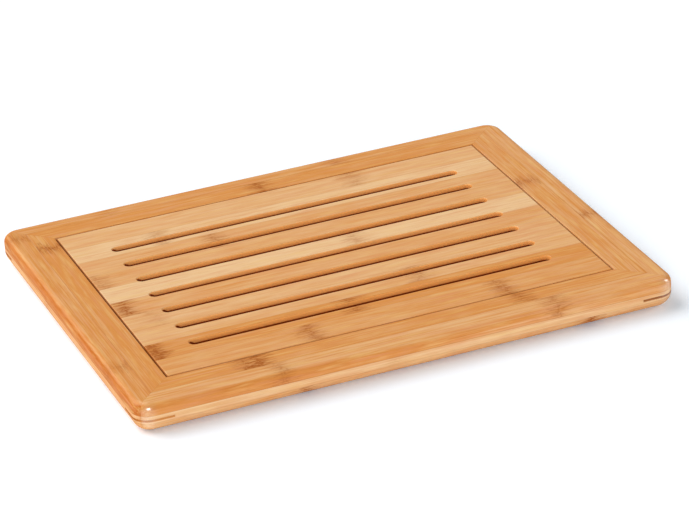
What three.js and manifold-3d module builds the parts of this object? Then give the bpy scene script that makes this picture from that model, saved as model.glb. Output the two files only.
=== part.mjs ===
// A bamboo bread board: a mitred frame of three-ply rails with a crumb tray, and a loose slotted grid.
// Millimetres, +Z up. The origin lies under the middle of the board, on the surface that it stands on.
// +X runs along the board, parallel to the slots.
import * as THREE from 'three';
import { mergeVertices } from 'three/addons/utils/BufferGeometryUtils.js';
import Module from 'manifold-3d';

const wasm = await Module();
wasm.setup();

// The board from outside.
const BOARD_LENGTH = 380;
const BOARD_WIDTH = 297;
const RAIL_WIDTH = 31;

// The three plies that are glued up, one on another, to make each rail. The top one is two strips wide.
const BOTTOM_PLY_HEIGHT = 7.7;
const CORE_PLY_HEIGHT = 5.6;
const TOP_PLY_HEIGHT = 8.7;
const OUTER_STRIP_WIDTH = 15;

// The rounded outer edges. The flat underside's own corners are nearly square.
const TOP_ROUND = 5.4;
const BOTTOM_ROUND = 10.5;
const UNDERSIDE_CORNER_RADIUS = 1.5;

// The ledge under the grid, and the tray's floor, which lies in a rebate of the bottom plies.
const LEDGE_REACH = 7;
const FLOOR_THICKNESS = 4.5;
const FLOOR_REBATE = 5;
const FLOOR_CLEARANCE = 0.3;
const FLOOR_STAVES = 10;

// The flat keys that are glued into saw cuts across the mitred corners.
const KEY_LEG = 25;
const KEY_THICKNESS = 1.6;
const KEY_GLUE_LINE = 0.2;
const KEY_PLACE_SHARE = 0.42;

// The lift-out grid and the slots that let the crumbs through. The slots share out the grid's width
// evenly, with a wider land outside the first and the last one, given as a share of their pitch.
const GRID_GAP = 1.3;
const GRID_STAVES = 10;
const SLOT_COUNT = 7;
const SLOT_OUTER_LAND_SHARE = 1.4;
const SLOT_WIDTH = 8;
const SLOT_END_MARGIN = 28;
const EASED_EDGE = 0.7;

// How finely the round stretches are divided, and how far a cutting solid runs past what it cuts.
const CORNER_STEPS = 6;
const ROUND_STEPS = 5;
const EASED_STEPS = 2;
const SLOT_END_STEPS = 10;
const OVERRUN = 5;

// Places that follow from these sizes.
const LEDGE_HEIGHT = BOTTOM_PLY_HEIGHT + CORE_PLY_HEIGHT;
const BOARD_HEIGHT = LEDGE_HEIGHT + TOP_PLY_HEIGHT;
const CORNER_RADIUS = UNDERSIDE_CORNER_RADIUS + BOTTOM_ROUND;
const LEDGE_WIDTH = RAIL_WIDTH + LEDGE_REACH;
const KEY_BASE = BOTTOM_PLY_HEIGHT + KEY_PLACE_SHARE * CORE_PLY_HEIGHT - KEY_THICKNESS / 2;

// A closed geometry as a solid that can be cut and joined.
function solidOf(geometry) {
  geometry.deleteAttribute('normal');
  geometry.deleteAttribute('uv');
  const merged = mergeVertices(geometry);
  return new wasm.Manifold(new wasm.Mesh({
    numProp: 3,
    vertProperties: merged.attributes.position.array,
    triVerts: Uint32Array.from(merged.index.array),
  }));
}

// A solid as a named mesh with a wood finish of the given colour.
function pieceOf(name, solid, colour) {
  const { vertProperties, triVerts } = solid.getMesh();
  const geometry = new THREE.BufferGeometry();
  geometry.setAttribute('position', new THREE.BufferAttribute(vertProperties, 3));
  geometry.setIndex(new THREE.BufferAttribute(triVerts, 1));
  geometry.computeVertexNormals();
  const material = new THREE.MeshStandardMaterial({ color: colour, roughness: 0.42, metalness: 0 });
  const mesh = new THREE.Mesh(geometry, material);
  mesh.name = name;
  return mesh;
}

// A flat-sided prism between two heights, over an outline given as [x, y] corners.
function prism(corners, low, high) {
  const shape = new THREE.Shape(corners.map(([x, y]) => new THREE.Vector2(x, y)));
  const geometry = new THREE.ExtrudeGeometry(shape, { depth: high - low, bevelEnabled: false });
  return solidOf(geometry.translate(0, 0, low));
}

// The same over a rectangle that reaches from (left, front) to (right, back).
function block(left, right, front, back, low, high) {
  return prism([[left, front], [right, front], [right, back], [left, back]], low, high);
}

// A rectangle about the origin with rounded corners, as the outline of a shape or of a hole in one.
function roundedOutline(outline, length, width, radius) {
  const x = length / 2 - radius;
  const y = width / 2 - radius;
  outline.absarc(x, y, radius, 0, Math.PI / 2);
  outline.absarc(-x, y, radius, Math.PI / 2, Math.PI);
  outline.absarc(-x, -y, radius, Math.PI, Math.PI * 3 / 2);
  outline.absarc(x, -y, radius, Math.PI * 3 / 2, Math.PI * 2);
  outline.closePath();
  return outline;
}

// A slab with rounded corners in plan, its upper and lower edges rounded over to one radius.
function roundedSlab(length, width, round, low, high) {
  const shape = roundedOutline(
    new THREE.Shape(), length - 2 * round, width - 2 * round, CORNER_RADIUS - round);
  const geometry = new THREE.ExtrudeGeometry(shape, {
    depth: high - low - 2 * round,
    curveSegments: CORNER_STEPS,
    bevelSegments: ROUND_STEPS,
    bevelThickness: round,
    bevelSize: round,
  });
  return solidOf(geometry.translate(0, 0, low + round));
}

// The whole board's outer form, before anything is cut out of it.
function boardForm(length, width) {
  const upper = roundedSlab(length, width, TOP_ROUND, -BOARD_HEIGHT, BOARD_HEIGHT);
  const lower = roundedSlab(length, width, BOTTOM_ROUND, 0, 2 * BOARD_HEIGHT);
  return upper.intersect(lower);
}

// The prism of one mitred strip along the side at -Y, between two distances in from the outer face.
function mitredStrip(length, width, outer, inner, low, high) {
  const x = length / 2;
  const y = width / 2;
  return prism([
    [-x + outer, -y + outer],
    [x - outer, -y + outer],
    [x - inner, -y + inner],
    [-x + inner, -y + inner],
  ], low, high);
}

// The triangular prism of a corner key at the corner of +X and -Y.
function keyPrism(length, width, leg) {
  const x = length / 2;
  const y = width / 2;
  return prism([
    [x - leg - OVERRUN, -y - OVERRUN],
    [x + OVERRUN, -y - OVERRUN],
    [x + OVERRUN, -y + leg + OVERRUN],
  ], KEY_BASE, KEY_BASE + KEY_THICKNESS);
}

// The rail along the side at -Y of a board of this length and width: its plies and top strips.
function railPieces(length, width) {
  const form = boardForm(length, width);
  const strip = (outer, inner, low, high) => form.intersect(
    mitredStrip(length, width, outer, inner, low, high));
  const rebateX = length / 2 - LEDGE_WIDTH + FLOOR_REBATE;
  const rebateY = width / 2 - LEDGE_WIDTH + FLOOR_REBATE;
  const rebate = block(-rebateX, rebateX, -rebateY, rebateY,
    BOTTOM_PLY_HEIGHT - FLOOR_THICKNESS, BOTTOM_PLY_HEIGHT + OVERRUN);
  const kerf = keyPrism(length, width, KEY_LEG + KEY_GLUE_LINE);
  return {
    bottom_ply: strip(-OVERRUN, LEDGE_WIDTH, 0, BOTTOM_PLY_HEIGHT).subtract(rebate),
    core_ply: strip(-OVERRUN, LEDGE_WIDTH, BOTTOM_PLY_HEIGHT, LEDGE_HEIGHT)
      .subtract(kerf).subtract(kerf.mirror([1, 0, 0])),
    top_outer_strip: strip(-OVERRUN, OUTER_STRIP_WIDTH, LEDGE_HEIGHT, BOARD_HEIGHT),
    top_inner_strip: strip(OUTER_STRIP_WIDTH, RAIL_WIDTH, LEDGE_HEIGHT, BOARD_HEIGHT),
  };
}

const RAIL_COLOURS = {
  bottom_ply: '#c98f4f', core_ply: '#efcf92', top_outer_strip: '#e2a566', top_inner_strip: '#d99a5b',
};

// One rail as a group, turned about the board's middle to its own side.
function rail(side, length, width, turn) {
  const group = new THREE.Group();
  for (const [piece, solid] of Object.entries(railPieces(length, width))) {
    group.add(pieceOf(`${side}_rail_${piece}`, solid, RAIL_COLOURS[piece]));
  }
  group.rotation.z = turn;
  return group;
}

// A corner key at the corner of +X and -Y, flush with the rounded outer face.
function cornerKey(name, length, width, turn) {
  const key = boardForm(length, width).intersect(keyPrism(length, width, KEY_LEG));
  const mesh = pieceOf(name, key, '#8a5a2c');
  mesh.rotation.z = turn;
  return mesh;
}

// The floor of the crumb tray: staves glued edge to edge, with their ends and sides in the rebate.
function floorStaves() {
  const x = BOARD_LENGTH / 2 - LEDGE_WIDTH + FLOOR_REBATE - FLOOR_CLEARANCE;
  const y = BOARD_WIDTH / 2 - LEDGE_WIDTH + FLOOR_REBATE - FLOOR_CLEARANCE;
  const staveWidth = 2 * y / FLOOR_STAVES;
  const group = new THREE.Group();
  for (let i = 0; i < FLOOR_STAVES; i += 1) {
    const front = -y + i * staveWidth;
    const stave = block(-x, x, front, front + staveWidth,
      BOTTOM_PLY_HEIGHT - FLOOR_THICKNESS, BOTTOM_PLY_HEIGHT);
    group.add(pieceOf(`floor_stave_${i + 1}`, stave, '#d9ab6c'));
  }
  return group;
}

// The grid's panel before it is parted into staves: flush with the frame, edges eased, slots cut.
function gridPanel(length, width) {
  const shape = new THREE.Shape();
  const x = length / 2 - EASED_EDGE;
  const y = width / 2 - EASED_EDGE;
  shape.moveTo(-x, -y).lineTo(x, -y).lineTo(x, y).lineTo(-x, y).closePath();
  const end = length / 2 - SLOT_END_MARGIN - SLOT_WIDTH / 2;
  const mouthRadius = SLOT_WIDTH / 2 + EASED_EDGE;
  const pitch = width / (SLOT_COUNT - 1 + 2 * SLOT_OUTER_LAND_SHARE);
  for (let i = 0; i < SLOT_COUNT; i += 1) {
    const middle = (i - (SLOT_COUNT - 1) / 2) * pitch;
    const mouth = new THREE.Path();
    mouth.absarc(end, middle, mouthRadius, -Math.PI / 2, Math.PI / 2);
    mouth.absarc(-end, middle, mouthRadius, Math.PI / 2, Math.PI * 3 / 2);
    mouth.closePath();
    shape.holes.push(mouth);
  }
  const geometry = new THREE.ExtrudeGeometry(shape, {
    depth: TOP_PLY_HEIGHT - 2 * EASED_EDGE,
    curveSegments: SLOT_END_STEPS,
    bevelSegments: EASED_STEPS,
    bevelThickness: EASED_EDGE,
    bevelSize: EASED_EDGE,
  });
  return solidOf(geometry.translate(0, 0, EASED_EDGE));
}

// The colour of each grid stave, from the front one to the back one.
const GRID_COLOURS = [
  '#e0a765', '#c98f50', '#d8a464', '#ddac6e', '#c08a4e',
  '#e6c283', '#d39a58', '#d9a566', '#e2b57a', '#dfb27a',
];

// The grid, resting on the ledge inside the frame, with a gap all round.
function grid() {
  const length = BOARD_LENGTH - 2 * (RAIL_WIDTH + GRID_GAP);
  const width = BOARD_WIDTH - 2 * (RAIL_WIDTH + GRID_GAP);
  const panel = gridPanel(length, width);
  const staveWidth = width / GRID_STAVES;
  const group = new THREE.Group();
  for (let i = 0; i < GRID_STAVES; i += 1) {
    const front = -width / 2 + i * staveWidth;
    const cell = block(-length, length, front, front + staveWidth, -OVERRUN, TOP_PLY_HEIGHT + OVERRUN);
    group.add(pieceOf(`grid_stave_${i + 1}`, panel.intersect(cell), GRID_COLOURS[i % GRID_COLOURS.length]));
  }
  group.position.z = LEDGE_HEIGHT;
  return group;
}

const board = new THREE.Group();
board.add(rail('front', BOARD_LENGTH, BOARD_WIDTH, 0));
board.add(rail('right', BOARD_WIDTH, BOARD_LENGTH, Math.PI / 2));
board.add(rail('back', BOARD_LENGTH, BOARD_WIDTH, Math.PI));
board.add(rail('left', BOARD_WIDTH, BOARD_LENGTH, -Math.PI / 2));
board.add(cornerKey('front_right_corner_key', BOARD_LENGTH, BOARD_WIDTH, 0));
board.add(cornerKey('back_right_corner_key', BOARD_WIDTH, BOARD_LENGTH, Math.PI / 2));
board.add(cornerKey('back_left_corner_key', BOARD_LENGTH, BOARD_WIDTH, Math.PI));
board.add(cornerKey('front_left_corner_key', BOARD_WIDTH, BOARD_LENGTH, -Math.PI / 2));
board.add(floorStaves());
board.add(grid());

export default board;
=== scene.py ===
# A bamboo bread board: a slotted grid that lifts out of a mitred frame with a shallow crumb tray.
# Metres, in the frame's own axes: +X runs along the slots, +Y to the back and +Z up from the table.
import math

import bmesh
import bpy
import numpy as np
from mathutils import Matrix, Vector


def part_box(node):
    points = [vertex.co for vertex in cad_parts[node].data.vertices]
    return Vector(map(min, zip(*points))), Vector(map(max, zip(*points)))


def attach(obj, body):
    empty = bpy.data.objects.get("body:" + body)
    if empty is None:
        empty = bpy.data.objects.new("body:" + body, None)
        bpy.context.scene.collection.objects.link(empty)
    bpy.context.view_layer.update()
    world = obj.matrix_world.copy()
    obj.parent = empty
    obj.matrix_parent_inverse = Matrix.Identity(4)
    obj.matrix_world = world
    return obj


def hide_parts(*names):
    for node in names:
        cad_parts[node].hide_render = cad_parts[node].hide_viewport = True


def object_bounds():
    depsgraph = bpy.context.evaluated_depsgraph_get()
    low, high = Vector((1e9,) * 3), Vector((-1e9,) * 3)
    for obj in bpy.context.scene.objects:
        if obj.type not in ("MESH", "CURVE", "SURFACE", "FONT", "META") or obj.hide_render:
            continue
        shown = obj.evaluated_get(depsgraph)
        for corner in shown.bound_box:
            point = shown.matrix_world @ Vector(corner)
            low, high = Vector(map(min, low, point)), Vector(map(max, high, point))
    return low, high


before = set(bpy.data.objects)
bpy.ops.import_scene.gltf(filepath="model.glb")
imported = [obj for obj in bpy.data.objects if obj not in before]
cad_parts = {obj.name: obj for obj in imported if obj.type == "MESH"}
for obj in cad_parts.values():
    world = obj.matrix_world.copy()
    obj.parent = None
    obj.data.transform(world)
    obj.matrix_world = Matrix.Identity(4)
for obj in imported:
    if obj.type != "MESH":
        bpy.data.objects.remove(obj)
cad_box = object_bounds()
MM = 0.001

# The floor of the crumb tray: ten flat bamboo staves, glued edge to edge into one thin panel.
# Each is a planed strip with its arrises just broken, so a hairline shows at every glue joint.
# The panel is lacquered and lies loose in a rebate of the frame, which leaves it room to swell.
FLOOR_STAVES = 10
HAIRLINE = 0.12 * MM
HAIRLINE_STEPS = 2
DOUBLED = 0.001 * MM
CREASE = math.radians(28)
SQUARED_UP = 0.99995
FLOOR_TONES = (0.62, 0.5, 0.72, 0.55, 0.8, 0.6, 0.45, 0.7, 0.58, 0.66)
FLOOR_KNUCKLES = (
    {-95: 0.5, 121: 0.3}, {38: 0.6}, {-128: 0.4, 70: 0.5}, {12: 0.4}, {-60: 0.6},
    {101: 0.5}, {-20: 0.4}, {-141: 0.6, 88: 0.3}, {57: 0.5}, {-104: 0.4, 30: 0.5})


def round_off(corners, radius, steps):
    """A closed outline from its corners, each turned into an arc of that radius.

    An arc starts and ends one tangent length from its corner, the radius over the tangent of half the
    corner's angle. Its centre lies on the bisector, the radius over the sine of that half angle away, and
    its points are the centre plus the radius times the direction.
    """
    corners = np.array(corners, float)
    before = np.roll(corners, 1, axis=0) - corners
    after = np.roll(corners, -1, axis=0) - corners
    before /= np.linalg.norm(before, axis=1)[:, None]
    after /= np.linalg.norm(after, axis=1)[:, None]
    half = np.arccos(np.clip((before * after).sum(1), -1, 1)) / 2
    bisector = before + after
    bisector /= np.linalg.norm(bisector, axis=1)[:, None]
    centre = corners + bisector * (radius / np.sin(half))[:, None]
    start = corners + before * (radius / np.tan(half))[:, None] - centre
    end = corners + after * (radius / np.tan(half))[:, None] - centre
    first = np.arctan2(start[:, 1], start[:, 0])
    sweep = np.arctan2(end[:, 1], end[:, 0]) - first
    sweep = (sweep + math.pi) % (2 * math.pi) - math.pi
    angle = first[:, None] + sweep[:, None] * np.linspace(0, 1, steps + 1)
    arcs = centre[:, None] + radius * np.stack([np.cos(angle), np.sin(angle)], axis=2)
    return arcs.reshape(-1, 2)


def wood_piece(name, rings, closed=False):
    """A solid from rings of points, an array of (rings, points, 3).

    Each ring is joined to the next by a band of quads. The end rings are closed by one flat face each,
    or the last ring is joined to the first. Doubled points are merged and the faces turned outwards.
    Faces that lie square to an axis are shaded flat, so an eased edge doesn't bend the light on them.
    """
    count, points = rings.shape[:2]
    ring = np.arange(count if closed else count - 1)[:, None]
    point = np.arange(points)[None]
    following = (ring + 1) % count
    beside = (point + 1) % points
    corners = [ring * points + point, ring * points + beside,
               following * points + beside, following * points + point]
    quads = np.stack(np.broadcast_arrays(*corners), axis=2).reshape(-1, 4)
    first_ring = np.arange(points)
    last_ring = first_ring + (count - 1) * points
    caps = [] if closed else [first_ring[::-1].tolist(), last_ring.tolist()]
    mesh = bpy.data.meshes.new(name)
    mesh.from_pydata(rings.reshape(-1, 3).tolist(), [], quads.tolist() + caps)
    shape = bmesh.new()
    shape.from_mesh(mesh)
    bmesh.ops.remove_doubles(shape, verts=shape.verts, dist=DOUBLED)
    bmesh.ops.recalc_face_normals(shape, faces=shape.faces)
    shape.to_mesh(mesh)
    shape.free()
    mesh.set_sharp_from_angle(angle=CREASE)
    normals = np.empty(len(mesh.polygons) * 3, np.float32)
    mesh.polygons.foreach_get("normal", normals)
    flat = np.abs(normals.reshape(-1, 3)).max(axis=1) > SQUARED_UP
    mesh.polygons.foreach_set("use_smooth", ~flat)
    piece = bpy.data.objects.new(name, mesh)
    bpy.context.scene.collection.objects.link(piece)
    return piece


class Tone:
    """A socket of a finish's nodes. Arithmetic on tones adds Math nodes, so a pattern reads as a formula."""

    def __init__(self, finish, socket):
        self.finish = finish
        self.socket = socket

    def math(self, operation, *values):
        return self.finish.node("ShaderNodeMath", {"operation": operation}, dict(enumerate(values)))

    def __add__(self, other):
        return self.math("ADD", self, other)

    def __radd__(self, other):
        return self.math("ADD", other, self)

    def __sub__(self, other):
        return self.math("SUBTRACT", self, other)

    def __rsub__(self, other):
        return self.math("SUBTRACT", other, self)

    def __mul__(self, other):
        return self.math("MULTIPLY", self, other)

    def __rmul__(self, other):
        return self.math("MULTIPLY", other, self)

    def __truediv__(self, other):
        return self.math("DIVIDE", self, other)

    def __abs__(self):
        return self.math("ABSOLUTE", self)

    def rise(self, low, high):
        """0 below low and 1 above high, with a smooth step between. With low above high it falls instead."""
        ends = {0: self, 1: low, 2: high, 3: 0.0, 4: 1.0}
        if low > high:
            ends = {0: self, 1: high, 2: low, 3: 1.0, 4: 0.0}
        return self.finish.node("ShaderNodeMapRange", {"interpolation_type": "SMOOTHSTEP"}, ends)


class Finish:
    """The nodes of one material, or of the sky, its owner. They take the place of the owner's own nodes."""

    def __init__(self, owner):
        self.owner = owner
        owner.use_nodes = True
        self.tree = owner.node_tree
        self.tree.nodes.clear()

    def node(self, kind, settings=None, sockets=None, output=0):
        """Adds a node, makes its settings, fills its sockets with values or tones, and gives one output."""
        made = self.tree.nodes.new(kind)
        for setting, value in (settings or {}).items():
            setattr(made, setting, value)
        for socket, value in (sockets or {}).items():
            if isinstance(value, Tone):
                self.tree.links.new(value.socket, made.inputs[socket])
            else:
                made.inputs[socket].default_value = value
        return Tone(self, made.outputs[output] if made.outputs else None)

    def axes(self, coordinates, order=(0, 1, 2)):
        """The three numbers of the piece's own coordinates of that name, in the given order."""
        place = self.node("ShaderNodeTexCoord", output=coordinates)
        split = self.node("ShaderNodeSeparateXYZ", sockets={0: place}).socket.node
        return [Tone(self, split.outputs[axis]) for axis in order]

    def figure(self, place, length, width, detail=2.0, roughness=0.5):
        """Cloudy noise from 0 to 1, in lumps of a length along the grain and a width across it.

        The place is (along, across, up), and the noise is read at along over the length, and at across and
        up over the width.
        """
        along, across, up = place
        scaled = self.node("ShaderNodeCombineXYZ", sockets={
            0: along / length, 1: across / width, 2: up / width})
        return self.node("ShaderNodeTexNoise", sockets={
            "Vector": scaled, "Scale": 1.0, "Detail": detail, "Roughness": roughness})

    def blend(self, share, first, second):
        """The colour between two: the first at a share of 0, the second at 1."""
        settings = {"data_type": "RGBA", "clamp_factor": True}
        return self.node("ShaderNodeMix", settings, {0: share, 6: first, 7: second}, output=2)

    def lacquer(self, colour, roughness, height, coat):
        """The surface: satin lacquer over the wood, with the height map in metres as its fine relief."""
        relief = self.node("ShaderNodeBump", sockets={"Strength": 1.0, "Distance": 1.0, "Height": height})
        surface = self.node("ShaderNodeBsdfPrincipled", sockets={
            "Base Color": colour, "Roughness": roughness, "Normal": relief,
            "Specular IOR Level": 0.0, "Coat Weight": coat, "Coat Roughness": 0.24, "Coat IOR": 2.0})
        self.node("ShaderNodeOutputMaterial", sockets={"Surface": surface})
        return self.owner


def paint(red, green, blue):
    """A colour as it looks on paper, 0 to 255, as linear light: the display curve undone, and 1 for alpha."""
    shown = np.array([red, green, blue]) / 255
    linear = np.where(shown > 0.04045, ((shown + 0.055) / 1.055) ** 2.4, shown / 12.92)
    return (*linear.tolist(), 1.0)


# Bamboo's own colours. Lengths are in millimetres here, and LACQUER is the weight of the plain coat.
STEAMED = paint(214, 142, 72)
NATURAL = paint(233, 194, 146)
YELLOWED = paint(231, 187, 118)
ROSY = paint(217, 147, 101)
# ORANGE is the rind's colour, also laid on the top outer strips' round-over as painted shade.
ORANGE = paint(188, 102, 28)
KNUCKLE_BROWN = paint(164, 88, 30)
GLUE_BROWN = paint(116, 56, 22)
SEED_STEP = 37
KNUCKLE_REACH = 15
KNUCKLE_WANDER = 12
# The next two shape the orange band on the round-over, which is partly painted shade.
RIND_SHADE_DEPTH = 2.2
RIND_SHADE_ENDS = (-150, 150)
LACQUER = 0.18
THICK_LACQUER_X = (174, 182)
THICK_LACQUER_Y = (144, 146.5)


def knuckle_stain(finish, along, place, knuckles):
    """The stain of a strip's knuckles, whose middles along the grain are mapped to their strengths.

    A knuckle is its strength times the sum of a soft patch, which fades out over its reach, short dashes,
    dense in the patch's middle and sparse at its ends, and round flecks near its heart. The distance from
    its middle is bent by a slow wander.
    """
    wander = finish.figure(place, 40, 7)
    dots = finish.figure(place, 8, 0.9, 3.0, 0.6)
    flecks = finish.figure(place, 1.8, 1.5)
    stain = 0.0
    for middle, strength in knuckles.items():
        distance = abs(along - middle + (wander - 0.5) * KNUCKLE_WANDER)
        patch = distance.rise(KNUCKLE_REACH, 0)
        dashes = (dots + patch * 0.2).rise(0.56, 0.78) * patch.rise(0, 0.3) * 0.7
        heart = distance.rise(3.8, 0.8) * flecks.rise(0.45, 0.62) * 0.45
        stain = (patch * 0.2 + dashes + heart) * strength + stain
    return stain


def glue_lines(place, joints, mitre):
    """How much glue shows: 1 on each joint, given as (axis, place), and 0.7 on the diagonals of a frame.

    The offset from a diagonal of a frame of (length, width) is the inset from its ends less the inset
    from its long sides, which is 0 where the two are the same.
    """
    glue = 0.0
    for axis, joint in joints:
        glue = abs(place[axis] - joint / MM).rise(0.32, 0.05) + glue
    if mitre:
        length, width = mitre
        offset = (abs(place[0]) - length / 2 / MM) - (abs(place[1]) - width / 2 / MM)
        glue = abs(offset).rise(0.4, 0.1) * 0.7 + glue
    return glue


def bamboo(name, tone, grain="x", knuckles=None, joints=(), mitre=None, rind_and_shade=None, cut_light_and_shade=None,
           streak=1.0, seed=0):
    """The finish of one bamboo strip.

    The tone runs from -1, brown, by 0, steamed, to 1, natural. Soft clouds, streaks and fine fibres vary
    it: noise in lumps that are long along the grain and narrow across it, bent by a slow drift. One more
    such noise turns the colour yellower or rosier. A band given as (height, (first, last)) is orange on the
    strip's rounded outer face, partly the stem's orange rind and partly painted shade where the round-over
    misses the sheen of the top: below that height the tone falls, by first at the low end of the grain's
    axis and by last at its high end, and orange takes over as far as it falls under 0. Cut ends are
    browner, with the dots of the cut fibres, and hardly shine, and the frame's corners have a thicker coat.
    A function for what was cut afterwards gives its colour, with painted light and shade, from the finish,
    the colour so far and the place (x, y, z).
    """
    finish = Finish(bpy.data.materials.new(name))
    order = (0, 1, 2) if grain == "x" else (1, 0, 2)
    x, y, z = (axis * (1 / MM) for axis in finish.axes("Object"))
    along, across, up = ((x, y, z)[axis] for axis in order)
    end_cut = abs(finish.axes("Normal", order)[0]).rise(0.55, 0.95)

    straight = (along + seed * SEED_STEP, across, up)
    drift = finish.figure(straight, 70, 9, 1.0)
    bent = (straight[0], across + drift * 1.6, up)
    cloud = finish.figure(bent, 26, 5, 3.0, 0.55)
    streaks = finish.figure(bent, 150, 1.7)
    fibres = finish.figure(bent, 60, 0.5, 2.0, 0.6)
    shade = tone + (cloud - 0.5) * 0.8 + (streaks - 0.5) * 1.1 * streak + (fibres - 0.5) * streak
    # The orange band on the round-over: partly the rind's own colour, partly painted shade where the
    # round-over misses the top's sheen.
    if rind_and_shade:
        height, (first, last) = rind_and_shade
        fall = along.rise(*RIND_SHADE_ENDS) * (last - first) + first
        shade = shade - z.rise(height, height - RIND_SHADE_DEPTH) * fall
    colour = finish.blend(shade, STEAMED, NATURAL)
    if rind_and_shade:
        colour = finish.blend(shade * -1, colour, ORANGE)
    hue = finish.figure(bent, 34, 3.2, 3.0, 0.6)
    colour = finish.blend((hue - 0.52) * 2.4, colour, YELLOWED)
    colour = finish.blend((0.48 - hue) * 2.4, colour, ROSY)
    if tone < 0:
        colour = finish.blend(shade * -1, colour, GLUE_BROWN)
    dark_dash = finish.figure(bent, 17, 0.33).rise(0.55, 0.72)
    colour = finish.blend(dark_dash * 0.22, colour, KNUCKLE_BROWN)

    stain = 0.0
    if knuckles:
        stain = knuckle_stain(finish, along, straight, knuckles)
        colour = finish.blend(stain, colour, KNUCKLE_BROWN)
    if joints or mitre:
        colour = finish.blend(glue_lines((x, y, z), joints, mitre) * 0.2, colour, GLUE_BROWN)
    fibre_dots = finish.figure((along, across, up), 3, 0.4, 1.0).rise(0.5, 0.64)
    colour = finish.blend(end_cut * (0.6 + fibre_dots * 0.3), colour, KNUCKLE_BROWN)
    # The function for cut walls paints light and shade on them.
    if cut_light_and_shade:
        colour = cut_light_and_shade(finish, colour, (x, y, z))

    roughness = 0.42 + (cloud - 0.5) * 0.1 + stain * 0.12 + end_cut * 0.1
    relief = (dark_dash * -0.008 + stain * -0.02 + fibres * 0.015) * MM
    corner = abs(x).rise(*THICK_LACQUER_X) * abs(y).rise(*THICK_LACQUER_Y)
    coat = LACQUER + corner * (1 - LACQUER) - end_cut * LACQUER
    return finish.lacquer(colour, roughness, relief, coat)


def finish_piece(piece, node, body, material):
    """Gives a piece its finish, and puts it in the place of the frame's node of that name."""
    piece.data.materials.append(material)
    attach(piece, body)
    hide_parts(node)


for number in range(FLOOR_STAVES):
    node = f"floor_stave_{number + 1}"
    low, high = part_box(node)
    corners = [(low.y, low.z), (high.y, low.z), (high.y, high.z), (low.y, high.z)]
    section = round_off(corners, HAIRLINE, HAIRLINE_STEPS)
    ends = np.array([low.x, high.x])
    rings = np.concatenate([np.broadcast_to(ends[:, None, None], (2, len(section), 1)),
                            np.broadcast_to(section, (2, *section.shape))], axis=2)
    stave = wood_piece(f"{node}_planed", rings)
    finish_piece(stave, node, "tray", bamboo(
        f"floor_bamboo_{number + 1}", FLOOR_TONES[number], knuckles=FLOOR_KNUCKLES[number],
        joints=((1, low.y), (1, high.y)), seed=number + 1))

# The four rails of the frame: a bottom ply with a rebate for the floor, a pale core ply that carries
# the ledge under the grid, and a top ply that is two strips wide. The plies are glued up, mitred at the
# corners and glued round the floor; then the outer edge is rounded over and the frame lacquered.
SIDES = ("front", "right", "back", "left")
TOP_ROUND = 5.4 * MM
BOTTOM_ROUND = 10.5 * MM
CORNER_RADIUS = 12 * MM
FLOOR_CLEARANCE = 0.3 * MM
LIP = 0.5 * MM
LIP_STEPS = 5
ROUND_STEPS = 40
CORNER_STEPS = 20
KEY_GLUE_LINE = 0.2 * MM
KEY_LEVELS = 5
SLACK = 0.01 * MM
RAIL_TONES = {
    "bottom_ply": {"front": 0.5, "right": 0.45, "back": 0.55, "left": 0.3},
    "core_ply": {"front": 0.72, "right": 0.66, "back": 0.75, "left": 0.42},
    "top_outer_strip": {"front": 0.36, "right": 0.28, "back": 0.15, "left": 0.1},
    "top_inner_strip": {"front": 0.06, "right": 0.18, "back": 0.05, "left": 0.0}}
RAIL_KNUCKLES = {
    "bottom_ply": {
        "front": {-75: 0.7, 128: 0.9}, "right": {60: 0.5}, "back": {-20: 0.6, 140: 0.4},
        "left": {-70: 0.5, 92: 0.6}},
    "core_ply": {"front": {-12: 0.15}, "right": {-88: 0.3}, "back": {64: 0.3}, "left": {40: 0.3}},
    "top_outer_strip": {
        "front": {-90: 0.45, 104: 0.5}, "right": {-30: 0.5}, "back": {-112: 0.2, 60: 0.4},
        "left": {-89: 0.4, 129: 0.4}},
    "top_inner_strip": {
        "front": {-108: 0.7, -98: 0.9, 87: 0.6}, "right": {40: 0.5}, "back": {-3: 0.7},
        "left": {104: 0.75}}}
# The falls of the orange band on each side's top outer strip, partly painted shade: they differ side by side
# to offset how the lamps light each side.
RIND_SHADE_FALLS = {"front": (0.57, 0.15), "right": (0.39, 0.47), "back": (0.45, 0.36), "left": (0.95, 0.75)}
RIND_SHADE_MARGIN = 0.3

board_low, board_high = cad_box
board_length, board_width, board_height = board_high - board_low
core_low, core_high = (corner.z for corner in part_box("front_rail_core_ply"))
floor_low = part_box("floor_stave_1")[0]
key_low, key_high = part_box("front_left_corner_key")
kerf_leg = key_high.x - board_low.x + KEY_GLUE_LINE
kerf_levels = np.linspace(key_low.z, key_high.z, KEY_LEVELS)


def outer_face(low, high):
    """Points (inset, height) up the board's outer face from one height to another.

    The face is a quarter round of the lower radius, a plumb wall and a quarter round of the upper one. On
    the lower round the inset is the radius times one less the sine of the turn, and the height the radius
    times one less its cosine. On the upper one they change places, and the height counts down from the top.
    """
    turn = np.linspace(0, math.pi / 2, ROUND_STEPS + 1)
    inset = np.concatenate([BOTTOM_ROUND * (1 - np.sin(turn)), TOP_ROUND * (1 - np.cos(turn))])
    height = np.concatenate([BOTTOM_ROUND * (1 - np.cos(turn)),
                             board_height - TOP_ROUND * (1 - np.sin(turn))])
    inside = (height > low) & (height < high)
    height_kept = np.concatenate([[low], height[inside], [high]])
    return np.stack([np.interp(height_kept, height, inset), height_kept], axis=1)


def eased(corner, to_first, to_second, radius=LIP, steps=LIP_STEPS):
    """A quarter-round arris at a corner of a profile, between the directions towards its two neighbours.

    Its points are the corner plus the radius times the sum of the first direction times one less the
    sine and the second direction times one less the cosine.
    """
    turn = np.linspace(0, math.pi / 2, steps + 1)[:, None]
    first, second = np.array(to_first, float), np.array(to_second, float)
    return np.array(corner) + radius * (first * (1 - np.sin(turn)) + second * (1 - np.cos(turn)))


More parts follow.
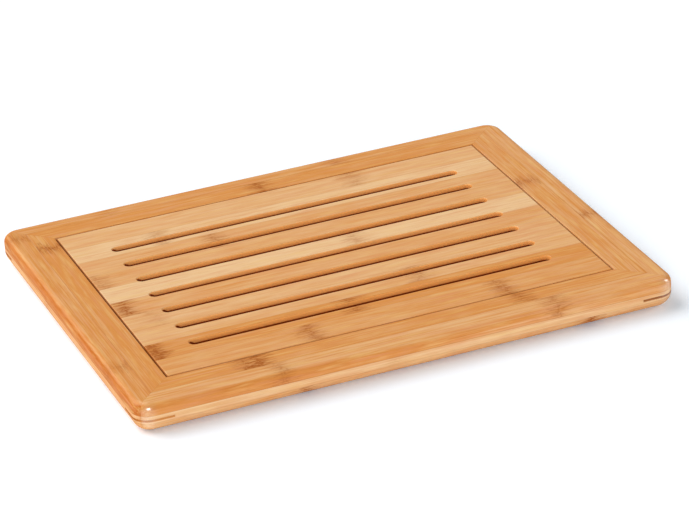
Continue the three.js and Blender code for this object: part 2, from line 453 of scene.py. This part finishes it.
def carried(profile, length, width):
    """Rings that carry a profile of (inset, height) along the rail at -Y, from mitre to mitre.

    At each end the profile turns through an eighth of a circle about the corner's centre, with a radius
    of the corner's less the inset. Past the corner's radius the inset lines run straight to the mitre.
    The straight between has rings near its ends, where the saw cuts for the keys start, and further in.
    """
    inset, height = profile.T
    radius = np.maximum(CORNER_RADIUS - inset, 0)
    centre_x = length / 2 - np.maximum(CORNER_RADIUS, inset)
    centre_y = -width / 2 + np.maximum(CORNER_RADIUS, inset)
    turn = np.linspace(0, math.pi / 4, CORNER_STEPS + 1)[:, None]
    kerf_start = (length / 2 - kerf_leg) / (length / 2 - CORNER_RADIUS)
    share = np.array([-0.99, -kerf_start, -0.4, 0.4, kerf_start, 0.99])[:, None]
    right_x = centre_x + radius * np.sin(turn)
    end_y = centre_y - radius * np.cos(turn)
    straight_y = np.broadcast_to(centre_y - radius, (len(share), len(inset)))
    x = np.concatenate([-right_x[::-1], share * centre_x, right_x])
    y = np.concatenate([end_y[::-1], straight_y, end_y])
    return np.stack([x, y, np.broadcast_to(height, x.shape)], axis=2)


def turned(points, quarters):
    """Points turned about the board's middle by that many quarter turns, seen from above."""
    turn = 1j ** quarters
    plan = (points[..., 0] + 1j * points[..., 1]) * turn
    return np.stack([plan.real, plan.imag, points[..., 2]], axis=-1)


def kerf_cut(rings, level, length, width):
    """The rings of a core ply with the saw cut for a corner key at each end.

    The rows of the profile that level marks turn in where the cut starts: their depth grows evenly from
    their inset to half the cut's leg, and their places run along the straight back of the cut.
    """
    cut = rings.copy()
    beyond = np.abs(rings[:, 0, 0]) >= length / 2 - kerf_leg - SLACK
    for side in (-1, 1):
        stations = np.flatnonzero(beyond & (np.sign(rings[:, 0, 0]) == side))
        grown = np.linspace(0, 1, len(stations))[::side, None]
        inset = rings[len(rings) // 2, level, 1] + width / 2
        depth = inset + grown * (kerf_leg / 2 - inset)
        cut[np.ix_(stations, level, [0])] = (side * (length / 2 - kerf_leg + depth))[..., None]
        cut[np.ix_(stations, level, [1])] = (depth - width / 2)[..., None]
    return cut


def inner_edge(node):
    """How far the inner edge of a strip of the front rail lies from the front of the board."""
    return board_width / 2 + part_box(node)[1].y


ledge = inner_edge("front_rail_core_ply")
strip = inner_edge("front_rail_top_outer_strip")
mouth = inner_edge("front_rail_top_inner_strip")
rebate = board_width / 2 + floor_low.y - FLOOR_CLEARANCE
core_face = outer_face(core_low, core_high)
below = core_face[core_face[:, 1] < key_low.z]
above = core_face[core_face[:, 1] > key_high.z]
kerf_rows = np.stack([np.interp(kerf_levels, core_face[:, 1], core_face[:, 0]), kerf_levels], axis=1)
in_kerf = np.arange(len(below) + 1, len(below) + 1 + len(kerf_rows))
# Every rail has the same four profiles, as points (inset, height) in order round each ply.
profiles = {
    "bottom_ply": np.concatenate([
        [(ledge, 0.0)], outer_face(0.0, core_low),
        [(rebate, core_low), (rebate, floor_low.z), (ledge, floor_low.z)]]),
    "core_ply": np.concatenate([
        below, kerf_rows[:1], kerf_rows, kerf_rows[-1:], above,
        eased((ledge, core_high), (-1, 0), (0, -1)), [(ledge, core_low)]]),
    "top_outer_strip": np.concatenate([
        outer_face(core_high, board_height - DOUBLED),
        eased((strip, board_height), (-1, 0), (0, -1), HAIRLINE, HAIRLINE_STEPS), [(strip, core_high)]]),
    "top_inner_strip": np.concatenate([
        [(strip, core_high)], eased((strip, board_height), (0, -1), (1, 0), HAIRLINE, HAIRLINE_STEPS),
        eased((mouth, board_height), (-1, 0), (0, -1)), [(mouth, core_high)]])}

for quarters, side in enumerate(SIDES):
    length, width = (board_width, board_length) if quarters % 2 else (board_length, board_width)
    grain, across = ("y", 0) if quarters % 2 else ("x", 1)
    facing = -1 if side in ("front", "left") else 1
    for number, (ply, profile) in enumerate(profiles.items()):
        node = f"{side}_rail_{ply}"
        rings = carried(profile, length, width)
        if ply == "core_ply":
            rings = kerf_cut(rings, in_kerf, length, width)
        rail = wood_piece(f"{node}_shaped", turned(rings, quarters))
        joints = [(2, core_low), (2, core_high)]
        if ply.startswith("top"):
            joints.append((across, facing * (width / 2 - strip)))
        # The top outer strips get the orange band, partly painted shade.
        rind_and_shade = (board_height / MM - RIND_SHADE_MARGIN, RIND_SHADE_FALLS[side]) if ply == "top_outer_strip" else None
        finish_piece(rail, node, "tray", bamboo(
            f"{side}_{ply}_bamboo", RAIL_TONES[ply][side], grain, RAIL_KNUCKLES[ply][side], joints,
            mitre=(board_length, board_width), rind_and_shade=rind_and_shade, seed=20 + len(profiles) * quarters + number))

# The four corner keys: thin dark slips of bamboo, glued into saw cuts across the mitres to hold them.
# Their outer faces were rounded over with the frame, so only a dark line shows in the pale core ply.
KEY_TONES = {"front_right": -0.75, "back_right": -0.6, "back_left": -0.8, "front_left": -0.3}


def key_rings(length, width):
    """A key's outline at each of its levels.

    It runs round the outer corner at the outer face's inset at that height, as a quarter circle of the
    corner's radius less the inset, between two straight legs, and back along the straight inner side.
    """
    face = outer_face(key_low.z, key_high.z)
    inset = np.interp(kerf_levels, face[:, 1], face[:, 0])[:, None]
    radius = CORNER_RADIUS - inset
    turn = np.linspace(-math.pi / 2, 0, 2 * CORNER_STEPS + 1)
    leg = kerf_leg - KEY_GLUE_LINE
    x = np.concatenate([length / 2 - leg + inset, length / 2 - CORNER_RADIUS + radius * np.cos(turn),
                        length / 2 - inset], axis=1)
    y = np.concatenate([inset - width / 2, CORNER_RADIUS - width / 2 + radius * np.sin(turn),
                        leg - width / 2 - inset], axis=1)
    return np.stack([x, y, np.broadcast_to(kerf_levels[:, None], x.shape)], axis=2)


for quarters, (corner, tone) in enumerate(KEY_TONES.items()):
    node = f"{corner}_corner_key"
    length, width = (board_width, board_length) if quarters % 2 else (board_length, board_width)
    key = wood_piece(f"{node}_fitted", turned(key_rings(length, width), quarters))
    finish_piece(key, node, "tray", bamboo(f"{corner}_key_bamboo", tone, seed=40 + quarters))

# The grid: ten staves glued edge to edge into a panel that lies loose on the frame's ledge.
# Seven slots with round ends are routed through it, across some of the glue joints, and every
# edge is eased all round, above and below, before the panel is lacquered.
GRID_STAVES = 10
SLOT_COUNT = 7
SLOT_WIDTH = 8 * MM
SLOT_END_MARGIN = 28 * MM
SLOT_OUTER_LAND_SHARE = 1.4
SLOT_STEPS = 24
EASED_EDGE = 0.7 * MM
EASED_STEPS = 6
GRID_STREAK = 0.6
GRID_TONES = (0.24, 0.05, 0.5, 0.55, 0.36, 0.95, 0.42, 0.42, 0.86, 0.56)
GRID_KNUCKLES = (
    {-54: 0.6, 82: 0.6}, {-154: 1.0, -15: 0.6}, {40: 0.5}, {-137: 0.2}, {-151: 0.8},
    {25: 0.4}, {-154: 0.4}, {-62: 0.5}, {-94: 0.4}, {60: 0.4})
# Painted light and shade in the slots: a paler colour for the upright walls, and a dark painted shadow band
# down them, with its depth, fade and climb. The last two say where painted shade at the slots' left ends
# starts and where it is full.
PAINTED_WALL_LIGHT = paint(252, 180, 100)
PAINTED_SLOT_SHADE = paint(130, 44, 4)
ROUTED_X = (146, 142)
ROUTED_Y = (102, 98)
SHADE_BAND_DEPTH = 2.9
SHADE_BAND_FADE = (1.6, 2.8)
SHADE_BAND_CLIMB = 2.0
END_SHADE_START = -1.2
END_SHADE_FULL = 2.4

grid_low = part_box("grid_stave_1")[0]
grid_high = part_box(f"grid_stave_{GRID_STAVES}")[1]
slot_pitch = (grid_high.y - grid_low.y) / (SLOT_COUNT - 1 + 2 * SLOT_OUTER_LAND_SHARE)
slot_middles = (np.arange(SLOT_COUNT) - (SLOT_COUNT - 1) / 2) * slot_pitch
slot_end = grid_high.x - SLOT_END_MARGIN - SLOT_WIDTH / 2
slot_reach = SLOT_WIDTH / 2 + EASED_EDGE


def eased_levels(low, high):
    """Insets and heights down an edge that is eased above and below.

    It is a quarter round, whose inset is the radius times one less the sine of the turn and whose depth is
    the radius times one less its cosine, then a plumb wall between two support levels, then the same
    quarter round turned over.
    """
    turn = np.linspace(0, math.pi / 2, EASED_STEPS + 1)
    inset = EASED_EDGE * (1 - np.sin(turn))
    depth = EASED_EDGE * (1 - np.cos(turn))
    support = 2 * EASED_EDGE
    insets = np.concatenate([inset, [0, 0], inset[::-1]])
    heights = np.concatenate([high - depth, [high - support, low + support], low + depth[::-1]])
    return insets, heights


def notch(edge, middle, radius):
    """The outline of a slot that crosses the stave's front edge, from left to right.

    Its round ends are arcs about the slot's end centres, from where they meet the edge, at the arcsine of
    the edge's offset over the radius, to the slot's far side.
    """
    meets = math.asin((edge - middle) / radius)
    turn = np.linspace(meets, math.pi / 2, SLOT_STEPS + 1)
    x = slot_end + radius * np.cos(turn)
    y = middle + radius * np.sin(turn)
    return np.concatenate([np.stack([-x, y], axis=1), np.stack([x, y], axis=1)[::-1]])


def long_edge(edge, left, right, middles, radius):
    """A stave's front edge from left to right, with the notch of a slot that crosses it, if there is one."""
    crossing = [middle for middle in middles if abs(middle - edge) < slot_reach]
    ends = np.array([[left, edge], [right, edge]])
    return np.concatenate([ends[:1], *[notch(edge, middle, radius) for middle in crossing], ends[1:]])


def stave_rings(front, back, levels):
    """A stave's outline at each level, all the way round, when no slot lies wholly inside it.

    The grid's own edges move in by the inset, the glued edges stay, and a slot's radius grows by it. The
    back edge is the front edge of the mirrored stave, mirrored back.
    """
    rings = []
    for inset, height in zip(*levels):
        left, right = grid_low.x + inset, grid_high.x - inset
        radius = SLOT_WIDTH / 2 + inset
        front_y = front + inset if math.isclose(front, grid_low.y, abs_tol=SLACK) else front
        back_y = back - inset if math.isclose(back, grid_high.y, abs_tol=SLACK) else back
        near = long_edge(front_y, left, right, slot_middles, radius)
        far = long_edge(-back_y, left, right, -slot_middles, radius)[::-1] * (1, -1)
        outline = np.concatenate([near, far])
        rings.append(np.column_stack([outline, np.full(len(outline), height)]))
    return np.array(rings)


def slotted_rings(front, back, middle, levels):
    """Rings round a stave and back through the slot inside it, matched point by point.

    A point of the slot's end lies at an angle about the end's centre, and its partner on the stave's edge
    lies straight out from it: the reach is the least distance to the end or to a long edge on that ray.
    """
    outside, inside = [], []
    tiny = 1e-9
    for inset, height in zip(*levels):
        reach_x = grid_high.x - inset - slot_end
        lower, upper = (math.atan2(y - middle, reach_x) for y in (front, back))
        turn = np.concatenate([np.linspace(-math.pi / 2, lower, SLOT_STEPS // 2, endpoint=False),
                               np.linspace(lower, upper, SLOT_STEPS, endpoint=False),
                               np.linspace(upper, math.pi / 2, SLOT_STEPS // 2 + 1)])
        ray = np.stack([np.cos(turn), np.sin(turn)], axis=1)
        span = np.where(ray[:, 1] > 0, back - middle, middle - front)
        reach = np.minimum(reach_x / np.maximum(ray[:, 0], tiny), span / np.maximum(np.abs(ray[:, 1]), tiny))
        for rings, distance in ((outside, reach), (inside, np.full(len(turn), SLOT_WIDTH / 2 + inset))):
            right = ray * distance[:, None] + (slot_end, middle)
            outline = np.concatenate([right, right[::-1] * (-1, 1)])
            rings.append(np.column_stack([outline, np.full(len(outline), height)]))
    return np.array(outside + inside[::-1])


def routed(finish, colour, place):
    """The colour where the cutter went through, with painted light and shade.

    The upright walls are made paler, painted light, with a painted shadow band half way down them. The band
    starts at its depth below the grid's top, is darkest there and fades lower down. It climbs further up at
    the slots' left ends, painted shade where those ends face away from the lamps.
    """
    x, y, z = place
    inside = abs(x).rise(*ROUTED_X) * abs(y).rise(*ROUTED_Y)
    wall = abs(finish.axes("Normal")[2]).rise(0.7, 0.3) * inside
    # Painted shade at the slots' left ends, which face away from the lamps.
    end_shade = (x * -1).rise(slot_end / MM + END_SHADE_START, slot_end / MM + END_SHADE_FULL)
    depth = (grid_high.z / MM - SHADE_BAND_DEPTH) - z
    band = (depth + end_shade * SHADE_BAND_CLIMB).rise(0, 0.7) * (1 - depth.rise(*SHADE_BAND_FADE) * 0.75)
    # Painted light: the upright walls are made paler.
    colour = finish.blend(wall * 0.8, colour, PAINTED_WALL_LIGHT)
    # Painted shadow: the dark band down the walls, climbing at the slots' left ends.
    return finish.blend(wall * band * 0.95, colour, PAINTED_SLOT_SHADE)


for number in range(GRID_STAVES):
    node = f"grid_stave_{number + 1}"
    low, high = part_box(node)
    levels = eased_levels(low.z, high.z)
    within = [m for m in slot_middles if low.y < m - slot_reach and m + slot_reach < high.y]
    if within:
        stave = wood_piece(f"{node}_routed", slotted_rings(low.y, high.y, within[0], levels), closed=True)
    else:
        stave = wood_piece(f"{node}_routed", stave_rings(low.y, high.y, levels))
    finish_piece(stave, node, "grid", bamboo(
        f"grid_bamboo_{number + 1}", GRID_TONES[number], knuckles=GRID_KNUCKLES[number],
        joints=[(1, y) for y in (low.y, high.y) if abs(y) < grid_high.y - EASED_EDGE],
        cut_light_and_shade=routed, streak=GRID_STREAK, seed=60 + number))

# The stage: a plain white floor that keeps the board's shadow, a soft white sky, a large soft lamp high up
# behind the board and to its left, and two lower ones: at its front, beside the camera, and at its right.
# What the camera sees of the sky is plain white, and it sees the floor a little brighter and cooler.
FLOOR_SIZE = 24.0
FLOOR_SHADE = (0.98, 0.98, 1.0, 1.0)
FLOOR_LIFT = (0.03, 0.09, 0.13, 1.0)
WHITE = (1.0, 1.0, 1.0, 1.0)
SKY_STRENGTH = 0.2
SKY_GLOSS = 0.3

white = Finish(bpy.data.materials.new("floor_white"))
direct = white.node("ShaderNodeLightPath", output="Is Camera Ray")
matt = white.node("ShaderNodeBsdfDiffuse", sockets={"Color": FLOOR_SHADE})
glow = white.node("ShaderNodeEmission", sockets={"Color": FLOOR_LIFT, "Strength": 1.0})
lifted = white.node("ShaderNodeAddShader", sockets={0: matt, 1: glow})
shown = white.node("ShaderNodeMixShader", sockets={0: direct, 1: matt, 2: lifted})
white.node("ShaderNodeOutputMaterial", sockets={"Surface": shown})
half = FLOOR_SIZE / 2
floor_mesh = bpy.data.meshes.new("floor")
floor_mesh.from_pydata(
    [(-half, -half, 0), (half, -half, 0), (half, half, 0), (-half, half, 0)], [], [(0, 1, 2, 3)])
floor_mesh.materials.append(white.owner)
floor = bpy.data.objects.new("floor", floor_mesh)
bpy.context.scene.collection.objects.link(floor)

sky = Finish(bpy.data.worlds.new("sky"))
direct = sky.node("ShaderNodeLightPath", output="Is Camera Ray")
mirrored = sky.node("ShaderNodeLightPath", output="Is Glossy Ray")
strength = direct * (1 - SKY_STRENGTH) + mirrored * (SKY_GLOSS - SKY_STRENGTH) + SKY_STRENGTH
light = sky.node("ShaderNodeBackground", sockets={"Color": WHITE, "Strength": strength})
sky.node("ShaderNodeOutputWorld", sockets={"Surface": light})
bpy.context.scene.world = sky.owner


def lamp(name, heading, height, distance, size, level):
    """A soft lamp, (width, height) in size, that faces the middle of the board.

    It stands at a heading, in degrees from +Y towards +X, and at a height, in degrees above the floor. Its
    level is about the brightness that it alone gives a white sheet turned to face it: pi squared times the
    distance squared is its power for a level of one.
    """
    turn, lift = math.radians(heading), math.radians(height)
    away = Vector((math.sin(turn) * math.cos(lift), math.cos(turn) * math.cos(lift), math.sin(lift)))
    light = bpy.data.lights.new(name, "AREA")
    light.shape = "RECTANGLE"
    light.size, light.size_y = size
    light.energy = level * (math.pi * distance) ** 2
    lamp_object = bpy.data.objects.new(name, light)
    lamp_object.location = away * distance
    lamp_object.rotation_mode = "QUATERNION"
    lamp_object.rotation_quaternion = (-away).to_track_quat("-Z", "Y")
    bpy.context.scene.collection.objects.link(lamp_object)


lamp("key", heading=-48, height=45, distance=8.0, size=(8.4, 8.4), level=1.2)
lamp("front", heading=-158, height=16, distance=9.0, size=(2.7, 3.9), level=0.56)
lamp("side", heading=97, height=22, distance=8.0, size=(1.8, 3.6), level=0.26)

# The camera: a long lens from the front left, a little above the board, held slightly off level.
# It looks at the aim along a heading from +Y towards +X, dips below level and is rolled about its axis.
LENS = 185.87
SENSOR_WIDTH = 36.0
AIM = Vector((14.56, 9.23, 11.0)) * MM
DISTANCE = 2442.9 * MM
HEADING = math.radians(20.172)
DIP = math.radians(25.761)
ROLL = math.radians(-4.072)

look = Vector((math.sin(HEADING) * math.cos(DIP), math.cos(HEADING) * math.cos(DIP), -math.sin(DIP)))
level = look.cross(Vector((0, 0, 1))).normalized()
right = level * math.cos(ROLL) + level.cross(look) * math.sin(ROLL)
up = right.cross(look)
turned_to = Matrix((right, up, -look)).transposed().to_4x4()
camera_data = bpy.data.cameras.new("camera")
camera_data.lens = LENS
camera_data.sensor_width = SENSOR_WIDTH
camera = bpy.data.objects.new("camera", camera_data)
camera.matrix_world = Matrix.Translation(AIM - look * DISTANCE) @ turned_to
bpy.context.scene.collection.objects.link(camera)
bpy.context.scene.camera = camera
bpy.context.scene.view_settings.view_transform = "Standard"
